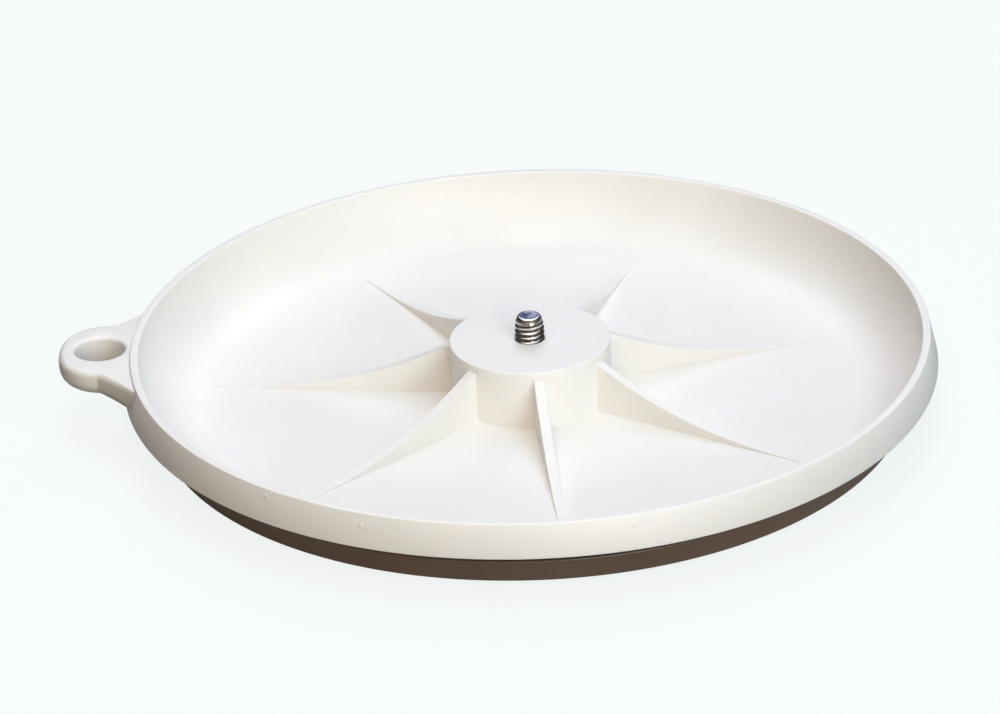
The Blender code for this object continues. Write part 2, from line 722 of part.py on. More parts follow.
def build_feet(parent):
    material = finish("foot_rubber", (0.03, 0.03, 0.032), 0.8)
    top = pan_low - SEAT
    outline = [
        (0.0, 0.0),
        *arc((FOOT_RADIUS - FOOT_EDGE, FOOT_EDGE), FOOT_EDGE, -90.0, 0.0, 2),
        (FOOT_RADIUS, top),
        (0.0, top),
    ]
    mesh = turned("foot", outline, FACET_COUNT_TINY)
    mesh.materials.append(material)
    for number, _, (x, y) in around(FOOT_COUNT, foot_circle, math.pi / FOOT_COUNT):
        piece = add_object(f"foot_{number}", mesh, None, parent)
        piece.location = (x, y, 0.0)
    smooth(piece)

    radius = head_bore + CENTRE_FOOT_LAP
    outline = [
        (0.0, 0.0),
        *arc((radius - FOOT_EDGE, FOOT_EDGE), FOOT_EDGE, -90.0, 0.0, 2),
        (radius, top),
        (head_bore, top),
        (head_bore - CENTRE_FOOT_RECESS, top - CENTRE_FOOT_RECESS),
        (0.0, top - CENTRE_FOOT_RECESS),
    ]
    smooth(add_object("centre_foot", turned("centre_foot", outline), material, parent))


# ---------------------------------------------------------------- assembly

def axis_empty(name):
    """An empty on the turning axis that carries what moves together."""
    empty = bpy.data.objects.new(name, None)
    bpy.context.scene.collection.objects.link(empty)
    return empty


def main():
    for old in list(bpy.data.objects):
        bpy.data.objects.remove(old)
    base = axis_empty("base_axis")
    spinner = axis_empty("dish_axis")
    rolling = axis_empty("rolling_axis")
    build_pan(base)
    build_feet(base)
    build_cup(base)
    build_screws(base)
    build_circlip(base)
    build_bearing(base, spinner, rolling)
    build_dish(spinner)
    build_bolt(spinner)
    build_nut(spinner)
    build_spacers(spinner)
    build_race(rolling)


main()
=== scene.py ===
"""A sculpting turntable on a pale studio floor.

The printed dish, its threaded centre bolt, the enamelled pan, the rubber feet and the cup screws are
modelled again here with their fine detail. The other parts of the frame keep their shape and get their
finish here.
"""

import math

import bpy
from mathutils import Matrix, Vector


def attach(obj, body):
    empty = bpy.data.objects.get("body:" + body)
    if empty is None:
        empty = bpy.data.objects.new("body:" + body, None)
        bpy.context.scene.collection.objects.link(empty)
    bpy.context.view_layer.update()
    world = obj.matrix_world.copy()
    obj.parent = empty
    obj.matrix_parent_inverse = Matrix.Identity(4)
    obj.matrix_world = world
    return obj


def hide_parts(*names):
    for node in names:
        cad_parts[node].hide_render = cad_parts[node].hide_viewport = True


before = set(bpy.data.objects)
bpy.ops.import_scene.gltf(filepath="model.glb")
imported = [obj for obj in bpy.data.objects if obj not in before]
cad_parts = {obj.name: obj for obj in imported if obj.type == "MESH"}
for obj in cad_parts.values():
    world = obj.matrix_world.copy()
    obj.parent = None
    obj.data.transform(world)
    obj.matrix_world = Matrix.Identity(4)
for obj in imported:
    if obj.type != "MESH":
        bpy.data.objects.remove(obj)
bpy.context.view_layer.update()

MM = 0.001
ROUND = 2.0 * math.pi

# ---------------------------------------------------------------- sizes in millimetres, z from the table

RIM_RADIUS, RIM_WIDTH, RIM_TOP = 127.0, 2.5, 26.7
RIM_ROUND = 0.25
FLOOR_TOP, FLOOR_LOW = 6.7, 4.9
COVE = 20.0
COVE_CENTRE = (104.5, 26.7)
COVE_OUTSIDE = 21.8
SKIRT_LOW, SKIRT_RADIUS = 16.05, 129.4
HUB_RADIUS, HUB_TOP, HUB_ROUND = 25.6, 25.87, 0.4
HUB_CAVITY, HUB_PLATE_LOW = 21.913, 21.07
HUB_RING = 21.9
NUT_BOSS, NUT_BOSS_LOW = 12.25, 19.27
NUT_POCKET_HEIGHT, NUT_POCKET_MIDDLE, NUT_ROOM = 5.86, 20.24, 0.6
BOLT_HOLE, BOLT_MOUTH = 5.062, 4.8

RIB_COUNT, RIB_THICKNESS = 7, 3.0
RIB_FIRST = math.radians(174.2)
RIB_TIP, RIB_PEAK = 103.0, 23.47
RIB_TIP_HEIGHT, RIB_HOLLOW, RIB_SUNK = 0.3, 2.5, 1.6

LUG_HOLE_CENTRE, LUG_HOLE = 137.1, 8.0
LUG_CENTRE, LUG_RING, LUG_SHOULDER = 132.0, 18.2, 1.0
LUG_LOW, LUG_TOP = 17.2, 25.7
LUG_LOW_EDGE, LUG_EDGE, LUG_HOLE_EDGE = 4.4, 2.0, 1.2
LUG_HOLE_LOW = 6.8
LUG_FRONT, LUG_BACK = (76.0, 15.0), (87.0, 9.0)
LUG_FLANK_TURN = 8.0

LUMPS = [
    (-78.2, -100.8, 24.3), (-48.7, -118.2, 22.9), (33.0, -123.4, 23.6), (96.6, -85.6, 17.5),
    (108.9, -67.2, 22.4), (116.9, 40.4, 21.2), (108.8, 56.2, 17.8), (87.6, 88.5, 25.4), (72.5, 100.9, 23.2),
    (-15.8, -20.1, 24.0), (21.4, -14.0, 21.6), (5.9, -24.9, 23.1),
]

LAYER_DRAWN = 0.84
LUMP_HEIGHT, LUMP_REACH = 40.0, (0.2, 1.1)

PITCH = 25.4 / 16.0
THREAD_RADIUS = 4.7625
THREAD_DEPTH = 0.6134 * PITCH
THREAD_TURN = math.radians(20.0)
BOLT_LOW, BOLT_HEAD_TOP, BOLT_TIP = 3.0, 8.95, 33.87
BOLT_FLATS = 14.29

PAN_LOW, SHEET = 3.0, 1.2
PAN_RADIUS, PAN_LEAN = 119.18, math.radians(15.8)
PAN_TOP = 11.0
PAN_HOLE, PAN_BEAD, PAN_BEND = 9.35, 53.1, 1.5

FOOT_TOP, FOOT_RADIUS, FOOT_CIRCLE, FOOT_COUNT = 2.7, 9.0, 97.98, 6
SCREW_CIRCLE, SCREW_COUNT = 18.01, 4
SCREW_HOLE, SOCKET_FLATS = 1.8, 2.0


# ---------------------------------------------------------------- modelling by hand

def deselect():
    """Leave edit mode with nothing selected."""
    if bpy.context.mode != "OBJECT":
        bpy.ops.object.mode_set(mode="OBJECT")
    bpy.ops.object.select_all(action="DESELECT")


def pick(piece):
    """Make one piece the only selected one."""
    deselect()
    piece.select_set(True)
    bpy.context.view_layer.objects.active = piece


def edit(piece):
    """Enter edit mode on a piece with all of it selected."""
    pick(piece)
    bpy.ops.object.mode_set(mode="EDIT")
    bpy.ops.mesh.select_mode(type="VERT")
    bpy.ops.mesh.select_all(action="SELECT")


def start(add, name, **settings):
    """Add a primitive and name it."""
    deselect()
    add(**settings)
    piece = bpy.context.object
    piece.name = name
    piece.data.name = name
    return piece


def curve_points(centre, radius, begin, end, steps):
    """Points on an arc, angles in degrees."""
    turns = [math.radians(begin + (end - begin) * i / steps) for i in range(steps + 1)]
    return [(centre[0] + radius * math.cos(t), centre[1] + radius * math.sin(t)) for t in turns]


def draw(name, points, closed=True):
    """Draw an outline in the XZ plane: one corner of a plane is extruded from point to point, in mm."""
    piece = start(bpy.ops.mesh.primitive_plane_add, name, size=0.001)
    edit(piece)
    bpy.ops.mesh.merge(type="CENTER")
    places = [Vector((x * MM, 0.0, z * MM)) for x, z in points]
    if closed:
        places.append(places[0])
    bpy.ops.transform.translate(value=places[0])
    for before, after in zip(places, places[1:]):
        if (after - before).length > 1e-7:
            bpy.ops.mesh.extrude_region_move(TRANSFORM_OT_translate={"value": after - before})
    bpy.ops.mesh.select_all(action="SELECT")
    bpy.ops.mesh.remove_doubles(threshold=1e-7)
    return piece


def spun(name, points, steps):
    """An outline spun once round the Z axis into a closed body."""
    piece = draw(name, points)
    bpy.ops.mesh.spin(steps=steps, angle=ROUND, center=(0, 0, 0), axis=(0, 0, 1))
    bpy.ops.mesh.select_all(action="SELECT")
    bpy.ops.mesh.remove_doubles(threshold=2e-7)
    bpy.ops.mesh.delete_loose(use_verts=True, use_edges=True, use_faces=False)
    bpy.ops.mesh.select_all(action="SELECT")
    bpy.ops.mesh.normals_make_consistent(inside=False)
    deselect()
    return piece


def slab(name, points, depth):
    """An outline in the XZ plane filled and extruded evenly to both sides of it, in mm."""
    piece = draw(name, points)
    bpy.ops.mesh.edge_face_add()
    bpy.ops.transform.translate(value=(0.0, -depth / 2.0 * MM, 0.0))
    bpy.ops.mesh.extrude_region_move(TRANSFORM_OT_translate={"value": (0.0, depth * MM, 0.0)})
    bpy.ops.mesh.select_all(action="SELECT")
    bpy.ops.mesh.normals_make_consistent(inside=False)
    deselect()
    return piece


def settle(piece):
    """Apply a piece's place and turn to its mesh."""
    pick(piece)
    bpy.ops.object.transform_apply(location=True, rotation=True, scale=True)


def combine(piece, tool, operation):
    """Join, cut or trim a piece with a tool, which is used up."""
    step = piece.modifiers.new(operation, "BOOLEAN")
    step.operation = operation
    step.solver = "EXACT"
    step.object = tool
    pick(piece)
    bpy.ops.object.modifier_apply(modifier=step.name)
    bpy.data.objects.remove(tool)


def copied(piece, name, x, y, turn=0.0):
    """A copy with its own mesh, settled in its place, in mm."""
    twin = piece.copy()
    twin.data = piece.data.copy()
    twin.name = name
    twin.data.name = name
    bpy.context.scene.collection.objects.link(twin)
    twin.location = (x * MM, y * MM, 0.0)
    twin.rotation_euler.z = turn
    settle(twin)
    return twin


def finished(piece, material, body, nodes, angle=32.0):
    """Clean, smooth, paint and mount a piece."""
    edit(piece)
    bpy.ops.mesh.remove_doubles(threshold=2e-7)
    pick(piece)
    bpy.ops.object.shade_smooth_by_angle(angle=math.radians(angle))
    piece.data.materials.clear()
    piece.data.materials.append(material)
    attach(piece, body)
    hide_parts(*nodes)
    deselect()
    return piece


# ---------------------------------------------------------------- material tools

def hue(code):
    """Linear colour of an sRGB hex value."""
    parts = [int(code[i:i + 2], 16) / 255.0 for i in (1, 3, 5)]
    linear = [p / 12.92 if p <= 0.04045 else ((p + 0.055) / 1.055) ** 2.4 for p in parts]
    return (*linear, 1.0)


def add(tree, kind, links=None, stops=(), **settings):
    """Add a node with its settings, links and, on a colour ramp, stops of a place and a hex colour.

    Settings starting with in_ go to a socket by name or number, the others to the node.
    """
    node = tree.nodes.new("ShaderNode" + kind)
    for key, value in settings.items():
        if key.startswith("in_"):
            socket = key[3:].replace("_", " ")
            node.inputs[int(socket) if socket.isdigit() else socket].default_value = value
        else:
            setattr(node, key, value)
    for socket, source in (links or {}).items():
        tree.links.new(source, node.inputs[socket])
    if stops:
        row = node.color_ramp.elements
        while len(row) < len(stops):
            row.new(0.5)
        for stop, (place, code) in zip(row, stops):
            stop.position = place
            stop.color = hue(code)
    return node


def surface(name, **sockets):
    """A new material, its tree, shader and object coordinates, with constant values set on the shader."""
    material = bpy.data.materials.new(name)
    material.use_nodes = True
    tree = material.node_tree
    shader = tree.nodes["Principled BSDF"]
    for key, value in sockets.items():
        shader.inputs[key.replace("_", " ")].default_value = value
    return material, tree, shader, add(tree, "TexCoord").outputs["Object"]


def axis_distance(tree, place):
    """Distance of a place from the turning axis."""
    flat = add(tree, "VectorMath", {0: place}, operation="MULTIPLY", in_1=(1.0, 1.0, 0.0)).outputs[0]
    return add(tree, "VectorMath", {0: flat}, operation="LENGTH").outputs["Value"]


def coat(tree, shader, colour, roughness, relief=None):
    """Lead the last nodes of a finish to the shader. Roughness is a value from 0.3 to 0.7 and its range."""
    tree.links.new(colour.outputs[0], shader.inputs["Base Color"])
    value, low, high = roughness
    spread = add(tree, "MapRange", {0: value}, in_1=0.3, in_2=0.7, in_3=low, in_4=high)
    tree.links.new(spread.outputs[0], shader.inputs["Roughness"])
    if relief is not None:
        tree.links.new(relief.outputs[0], shader.inputs["Normal"])


# ---------------------------------------------------------------- finishes

def layer_print():
    """Natural ABS filament, laid in thin layers: ivory, satin, slightly see-through, faintly ribbed.

    Layers of such a print are about 0.28 mm high, which is finer than a pixel, so they are drawn at 0.84 mm.
    The small lumps where the nozzle stopped stand at the places the photograph shows.
    """
    material, tree, shader, place = surface(
        "natural_abs_print", IOR=1.54, Subsurface_Weight=0.25, Subsurface_Scale=0.0015,
    )
    shader.inputs["Subsurface Radius"].default_value = (1.0, 0.7, 0.4)
    height = add(tree, "SeparateXYZ", {0: place}).outputs[2]
    wander = add(tree, "TexNoise", {0: place}, in_Scale=90.0, in_Detail=2.0).outputs[0]
    sway = add(tree, "MapRange", {0: wander}, in_1=0.0, in_2=1.0, in_3=-0.00006, in_4=0.00006).outputs[0]
    shifted = add(tree, "Math", {0: height, 1: sway}).outputs[0]
    turns = add(tree, "Math", {0: shifted}, operation="MULTIPLY", in_1=ROUND / (LAYER_DRAWN * MM))
    layers = add(tree, "Math", {0: turns.outputs[0]}, operation="SINE").outputs[0]
    stretched = add(tree, "Mapping", {0: place}, in_Scale=(110.0, 110.0, 1500.0)).outputs[0]
    uneven = add(tree, "TexNoise", {0: stretched}, in_Scale=1.0, in_Detail=3.0, in_Roughness=0.6).outputs[0]
    ribbing = add(tree, "Math", {0: layers, 1: uneven}, operation="MULTIPLY").outputs[0]
    grain = add(tree, "TexNoise", {0: place}, in_Scale=1400.0, in_Detail=2.0).outputs[0]
    rough_skin = add(tree, "Math", {0: uneven, 1: grain}, operation="ADD").outputs[0]
    lumps = grain
    near, far = (reach * MM for reach in LUMP_REACH)
    for x, y, z in LUMPS:
        gap = add(tree, "VectorMath", {0: place}, operation="DISTANCE", in_1=(x * MM, y * MM, z * MM))
        gap = gap.outputs["Value"]
        lump = add(tree, "MapRange", {0: gap}, in_1=near, in_2=far, in_3=LUMP_HEIGHT, in_4=0.0).outputs[0]
        lumps = add(tree, "Math", {0: lumps, 1: lump}).outputs[0]
    fine = add(tree, "Bump", {"Height": rough_skin}, in_Strength=0.4, in_Distance=0.0001).outputs[0]
    raised = add(tree, "Bump", {"Height": lumps, "Normal": fine}, in_Strength=0.5, in_Distance=0.00001)
    raised = raised.outputs[0]
    coarse = add(tree, "Bump", {"Height": ribbing, "Normal": raised}, in_Strength=0.5, in_Distance=0.000015)
    cloud = add(tree, "TexNoise", {0: place}, in_Scale=22.0, in_Detail=4.0).outputs[0]
    tone = add(tree, "ValToRGB", {0: cloud}, stops=[(0.3, "#E9E7E1"), (0.7, "#EEECE7")])
    coat(tree, shader, tone, (uneven, 0.42, 0.56), coarse)
    return material


def zinc_plate():
    """Bright zinc plate on rolled steel: cool, shiny, faintly streaked, with brown painted shade in the
    thread's roots.
    """
    material, tree, shader, place = surface("zinc_plated_steel", Metallic=1.0)
    streak = add(tree, "Mapping", {0: place}, in_Scale=(300.0, 300.0, 2600.0)).outputs[0]
    rolled = add(tree, "TexNoise", {0: streak}, in_Scale=1.0, in_Detail=4.0).outputs[0]
    radius = axis_distance(tree, place)
    depth = add(tree, "MapRange", {0: radius}, in_1=0.0036, in_2=0.0044, in_3=0.0, in_4=1.0).outputs[0]
    # Painted shade: the colour turns brown near the thread's root radius, where the flanks shade the roots;
    # crests, tip and head stay unchanged.
    painted_root_shade = add(tree, "ValToRGB", {0: depth}, stops=[
        (0.1, "#FFFFFF"), (0.2, "#8A7A68"), (0.45, "#8A7A68"), (0.8, "#FFFFFF"),
    ]).outputs[0]
    plate = add(tree, "ValToRGB", {0: rolled}, stops=[(0.3, "#B0AEAB"), (0.7, "#D0D0D3")]).outputs[0]
    tone = add(tree, "VectorMath", {0: plate, 1: painted_root_shade}, operation="MULTIPLY")
    bump = add(tree, "Bump", {"Height": rolled}, in_Strength=0.3, in_Distance=0.00004)
    coat(tree, shader, tone, (rolled, 0.12, 0.26), bump)
    return material


def ground_steel(name, light, dark, low, high):
    """Ground steel: fine rings left by the wheel, an even grey shine."""
    material, tree, shader, place = surface(name, Metallic=1.0)
    radius = axis_distance(tree, place)
    noise = add(tree, "TexNoise", {"W": radius}, noise_dimensions="1D", in_Scale=9000.0, in_Detail=2.0)
    rings = noise.outputs[0]
    tone = add(tree, "ValToRGB", {0: rings}, stops=[(0.3, dark), (0.7, light)])
    bump = add(tree, "Bump", {"Height": rings}, in_Strength=0.2, in_Distance=0.00002)
    coat(tree, shader, tone, (rings, low, high), bump)
    return material


def pan_enamel():
    """Baked dark brown enamel on pressed sheet: satin, a slight orange peel about 1.5 mm wide."""
    material, tree, shader, place = surface("baked_enamel", IOR=1.5)
    peel = add(tree, "TexNoise", {0: place}, in_Scale=650.0, in_Detail=1.0).outputs[0]
    cloud = add(tree, "TexNoise", {0: place}, in_Scale=30.0, in_Detail=3.0).outputs[0]
    tone = add(tree, "ValToRGB", {0: cloud}, stops=[(0.3, "#614D3E"), (0.7, "#6B5749")])
    bump = add(tree, "Bump", {"Height": peel}, in_Strength=0.15, in_Distance=0.0001)
    coat(tree, shader, tone, (cloud, 0.42, 0.5), bump)
    return material


def foot_rubber():
    """Moulded natural rubber, black: matt, with a fine spark-eroded grain 0.3 mm wide and a dusty bloom."""
    material, tree, shader, place = surface("moulded_rubber", IOR=1.52)
    grain = add(tree, "TexNoise", {0: place}, in_Scale=3300.0, in_Detail=2.0).outputs[0]
    bloom = add(tree, "TexNoise", {0: place}, in_Scale=160.0, in_Detail=4.0).outputs[0]
    tone = add(tree, "ValToRGB", {0: bloom}, stops=[(0.35, "#1E1E1F"), (0.75, "#333230")])
    bump = add(tree, "Bump", {"Height": grain}, in_Strength=0.4, in_Distance=0.00008)
    coat(tree, shader, tone, (grain, 0.72, 0.9), bump)
    return material


def race_nylon():
    """Moulded natural nylon: milky, smooth, a little see-through."""
    material, tree, shader, place = surface(
        "natural_nylon", IOR=1.53, Subsurface_Weight=0.2, Subsurface_Scale=0.002,
    )
    cloud = add(tree, "TexNoise", {0: place}, in_Scale=120.0, in_Detail=3.0).outputs[0]
    tone = add(tree, "ValToRGB", {0: cloud}, stops=[(0.3, "#E2DDCF"), (0.7, "#EAE6DA")])
    coat(tree, shader, tone, (cloud, 0.38, 0.5))
    return material


# ---------------------------------------------------------------- printed dish

def dish_outline():
    """Radius and height points round the dish's wall, from the cavity's mouth outwards and back."""
    lean = (SKIRT_RADIUS - RIM_RADIUS) / (RIM_TOP - SKIRT_LOW)
    under = math.degrees(math.asin((COVE_CENTRE[1] - SKIRT_LOW) / COVE_OUTSIDE))
    edge = RIM_ROUND
    inner = RIM_RADIUS - RIM_WIDTH
    return [
        (HUB_CAVITY, FLOOR_LOW + 0.4),
        (HUB_CAVITY + 0.4, FLOOR_LOW),
        *curve_points(COVE_CENTRE, COVE_OUTSIDE, -90.0, -under, 22),
        (SKIRT_RADIUS - 0.35, SKIRT_LOW),
        (SKIRT_RADIUS - 0.08, SKIRT_LOW + 0.12),
        (SKIRT_RADIUS - 0.3 * lean - 0.01, SKIRT_LOW + 0.4),
        (RIM_RADIUS + edge * lean, RIM_TOP - edge),
        *curve_points((RIM_RADIUS - edge, RIM_TOP - edge), edge, 20.0, 90.0, 4),
        *curve_points((inner + edge, RIM_TOP - edge), edge, 90.0, 180.0, 4),
        *curve_points(COVE_CENTRE, COVE, -3.0, -90.0, 30),
        (HUB_RADIUS + 0.5, FLOOR_TOP),
        *curve_points((HUB_RADIUS + 0.3, FLOOR_TOP + 0.3), 0.3, 270.0, 180.0, 3)[1:],
        *curve_points((HUB_RADIUS - HUB_ROUND, HUB_TOP - HUB_ROUND), HUB_ROUND, 0.0, 90.0, 6),
        (HUB_RADIUS - HUB_ROUND - 0.15, HUB_TOP),
        (HUB_RING + 0.5, HUB_TOP),
        (HUB_RING + 0.35, HUB_TOP),
        (HUB_RING, HUB_TOP - 0.1),
        (HUB_RING - 0.35, HUB_TOP),
        (HUB_RING - 0.5, HUB_TOP),
        (BOLT_MOUTH + 0.3, HUB_TOP),
        (BOLT_MOUTH + 0.1, HUB_TOP),
        (BOLT_MOUTH, HUB_TOP - 0.1),
        (BOLT_MOUTH, HUB_TOP - 0.8),
        (BOLT_HOLE, HUB_TOP - 1.0),
        (BOLT_HOLE, NUT_BOSS_LOW),
        (NUT_BOSS - 0.4, NUT_BOSS_LOW),
        (NUT_BOSS, NUT_BOSS_LOW + 0.4),
        (NUT_BOSS, HUB_PLATE_LOW),
        (HUB_CAVITY, HUB_PLATE_LOW),
    ]


def rib_height(radius):
    """Height of a rib's top edge above the floor."""
    share = max(0.0, (RIB_TIP - radius) / (RIB_TIP - HUB_RADIUS))
    return RIB_TIP_HEIGHT + (RIB_PEAK - FLOOR_TOP - RIB_TIP_HEIGHT) * share**RIB_HOLLOW


def rib():
    """A rib along +X with a hollow-curved top edge."""
    inner = HUB_RADIUS - RIB_SUNK
    places = [RIB_TIP + (inner - RIB_TIP) * i / 60.0 for i in range(61)]
    top = [(radius, FLOOR_TOP + rib_height(max(radius, HUB_RADIUS))) for radius in places]
    return slab("rib", [(RIB_TIP, FLOOR_TOP - 0.5), *top, (inner, FLOOR_TOP - 0.5)], RIB_THICKNESS)


def lug_end(angle, inset):
    """A point of the squared round end, at an angle from its tip."""
    ring = LUG_RING + LUG_SHOULDER * math.sin(math.radians(2.0 * angle)) ** 2 - inset
    turn = math.radians(angle)
    return (LUG_CENTRE + ring * math.cos(turn), ring * math.sin(turn))


def lug_side(side, inset):
    """A hollow flank of the lug, from the rim up to the round end."""
    span, flare = side
    spread = LUG_RING + flare - inset
    foot = Vector((math.sqrt(RIM_RADIUS**2 - spread**2), spread))
    tip = Vector(lug_end(span, inset))
    chord = tip - foot
    turn = math.radians(LUG_FLANK_TURN)
    radius = chord.length / (2.0 * math.sin(turn / 2.0))
    across = Vector((-chord.y, chord.x)).normalized()
    centre = (foot + tip) / 2.0 + across * radius * math.cos(turn / 2.0)
    begin = math.degrees(math.atan2(foot.y - centre.y, foot.x - centre.x))
    return curve_points(centre, radius, begin, begin + LUG_FLANK_TURN, 8)


def lug_outline(inset):
    """Corner points of the lug in plan, drawn in by an inset."""
    front = lug_side(LUG_FRONT, inset)
    back = lug_side(LUG_BACK, inset)
    turn = LUG_FRONT[0] + LUG_BACK[0]
    low, high = [math.degrees(math.asin(side[0][1] / RIM_RADIUS)) for side in (back, front)]
    return [
        *front,
        *[lug_end(LUG_FRONT[0] - turn * i / 56.0, inset) for i in range(1, 56)],
        *[(x, -y) for x, y in reversed(back)],
        *curve_points((0.0, 0.0), RIM_RADIUS - 1.25, -low, high, 16),
    ]


def lug():
    """The lug: its outline is extruded upwards and drawn in over both edges, then turned to -X."""
    levels = [
        (LUG_LOW + LUG_LOW_EDGE + rise, inset)
        for inset, rise in curve_points((LUG_LOW_EDGE, 0.0), LUG_LOW_EDGE, 270.0, 180.0, 6)
    ]
    levels += [
        (LUG_TOP - LUG_EDGE + rise, inset)
        for inset, rise in curve_points((LUG_EDGE, 0.0), LUG_EDGE, 180.0, 90.0, 8)
    ]
    piece = draw("lug", lug_outline(levels[0][1]))
    mesh = piece.data
    bpy.ops.mesh.edge_face_add()
    for number, (height, inset) in enumerate(levels):
        if number:
            bpy.ops.mesh.extrude_region_move(TRANSFORM_OT_translate={"value": (0.0, 0.001, 0.0)})
        bpy.ops.object.mode_set(mode="OBJECT")
        chosen = [vertex for vertex in mesh.vertices if vertex.select]
        for vertex, (x, y) in zip(ordered(mesh, chosen), lug_outline(inset)):
            vertex.co = (-x * MM, -y * MM, height * MM)
        bpy.ops.object.mode_set(mode="EDIT")
    bpy.ops.mesh.select_all(action="SELECT")
    bpy.ops.mesh.normals_make_consistent(inside=False)
    deselect()
    return piece


def ordered(mesh, chosen):
    """The selected corners in the order in which their face was drawn."""
    face = next(f for f in mesh.polygons if f.select and len(f.vertices) == len(chosen))
    return [mesh.vertices[i] for i in face.vertices]


def printed_dish(material):
    """The whole print: the spun wall and hub, the ribs, the lug and its hole, and the pocket for the nut."""
    dish = spun("printed_dish", dish_outline(), 280)
    for number in range(RIB_COUNT):
        blade = rib()
        blade.rotation_euler.z = RIB_FIRST + number * ROUND / RIB_COUNT
        settle(blade)
        combine(dish, blade, "UNION")
    combine(dish, lug(), "UNION")
    edge = LUG_HOLE_EDGE
    hole = spun("hole", [
        (0.0, LUG_LOW - 1.0),
        (LUG_HOLE_LOW + 0.5, LUG_LOW - 1.0),
        *curve_points((LUG_HOLE_LOW + 0.5, LUG_LOW + 0.5), 0.5, 270.0, 180.0, 4),
        *curve_points((LUG_HOLE + edge, LUG_TOP - edge), edge, 180.0, 90.0, 6),
        (LUG_HOLE + edge, LUG_TOP + 1.0),
        (0.0, LUG_TOP + 1.0),
    ], 72)
    hole.location.x = -LUG_HOLE_CENTRE * MM
    settle(hole)
    combine(dish, hole, "DIFFERENCE")
    pocket = start(
        bpy.ops.mesh.primitive_cylinder_add, "pocket", vertices=6,
        radius=(BOLT_FLATS + NUT_ROOM) / math.sqrt(3.0) * MM, depth=NUT_POCKET_HEIGHT * MM,
        location=(0.0, 0.0, NUT_POCKET_MIDDLE * MM), rotation=(0.0, 0.0, math.radians(30.0)),
    )
    settle(pocket)
    combine(dish, pocket, "DIFFERENCE")
    return finished(dish, material, "turning_dish", ["dish"])


# ---------------------------------------------------------------- centre bolt

def threaded_shank():
    """One pitch of thread drawn up its flanks, screwed up round the axis and trimmed to a tapered point."""
    root = THREAD_RADIUS - THREAD_DEPTH
    base = BOLT_HEAD_TOP - 2.0 * PITCH
    p = PITCH
    shank = draw("shank", [
        (THREAD_RADIUS - 0.06, base),
        (THREAD_RADIUS, base + 0.06 * p),
        (THREAD_RADIUS - 0.06, base + 0.125 * p),
        (root + 0.07, base + 0.42 * p),
        (root, base + 0.56 * p),
        (root + 0.07, base + 0.70 * p),
        (THREAD_RADIUS - 0.06, base + p),
    ], closed=False)
    deselect()
    screw = shank.modifiers.new("thread", "SCREW")
    screw.axis = "Z"
    screw.angle = ROUND
    screw.screw_offset = p * MM
    screw.iterations = 19
    screw.steps = 64
    screw.render_steps = 64
    screw.use_merge_vertices = True
    screw.merge_threshold = 2e-6
    pick(shank)
    bpy.ops.object.modifier_apply(modifier=screw.name)
    shank.rotation_euler.z = THREAD_TURN
    settle(shank)
    edit(shank)
    bpy.ops.mesh.remove_doubles(threshold=2e-6)
    for height, keep_above in ((BOLT_HEAD_TOP - 0.7, True), (BOLT_TIP + 0.4, False)):
        bpy.ops.mesh.select_all(action="SELECT")
        bpy.ops.mesh.bisect(
            plane_co=(0.0, 0.0, height * MM), plane_no=(0.0, 0.0, 1.0), use_fill=True,
            clear_inner=keep_above, clear_outer=not keep_above,
        )
    bpy.ops.mesh.select_all(action="SELECT")
    bpy.ops.mesh.normals_make_consistent(inside=False)
    deselect()
    envelope = spun("envelope", [
        (0.0, BOLT_HEAD_TOP - 3.0),
        (THREAD_RADIUS + 1.0, BOLT_HEAD_TOP - 3.0),
        (THREAD_RADIUS + 1.0, BOLT_TIP - 5.9),
        (4.95, BOLT_TIP - 5.0),
        (4.7, BOLT_TIP - 4.2),
        (4.5, BOLT_TIP - 2.9),
        (4.24, BOLT_TIP - 1.5),
        (3.95, BOLT_TIP - 0.6),
        (3.6, BOLT_TIP - 0.12),
        (3.35, BOLT_TIP),
        (3.0, BOLT_TIP - 0.02),
        (1.2, BOLT_TIP - 0.06),
        (0.0, BOLT_TIP - 0.03),
    ], 96)
    combine(shank, envelope, "INTERSECT")
    return shank


def centre_bolt(material):
    """The hexagon head, chamfered round its corners, with the threaded shank joined to it."""
    head = start(
        bpy.ops.mesh.primitive_cylinder_add, "zinc_bolt", vertices=6,
        radius=BOLT_FLATS / math.sqrt(3.0) * MM, depth=(BOLT_HEAD_TOP - BOLT_LOW) * MM,
        location=(0.0, 0.0, (BOLT_HEAD_TOP + BOLT_LOW) / 2.0 * MM),
        rotation=(0.0, 0.0, math.radians(30.0)),
    )
    settle(head)
    face = BOLT_FLATS / 2.0
    trim = spun("trim", [
        (0.0, BOLT_LOW),
        (face * 0.96, BOLT_LOW),
        (face * 1.16, BOLT_LOW + 0.8),
        (face * 1.16, BOLT_HEAD_TOP - 0.5),
        (face * 1.0, BOLT_HEAD_TOP),
        (0.0, BOLT_HEAD_TOP),
    ], 72)
    combine(head, trim, "INTERSECT")
    combine(head, threaded_shank(), "UNION")
    return finished(head, material, "turning_dish", ["centre_bolt"], 40.0)


# ---------------------------------------------------------------- pan, feet and screws

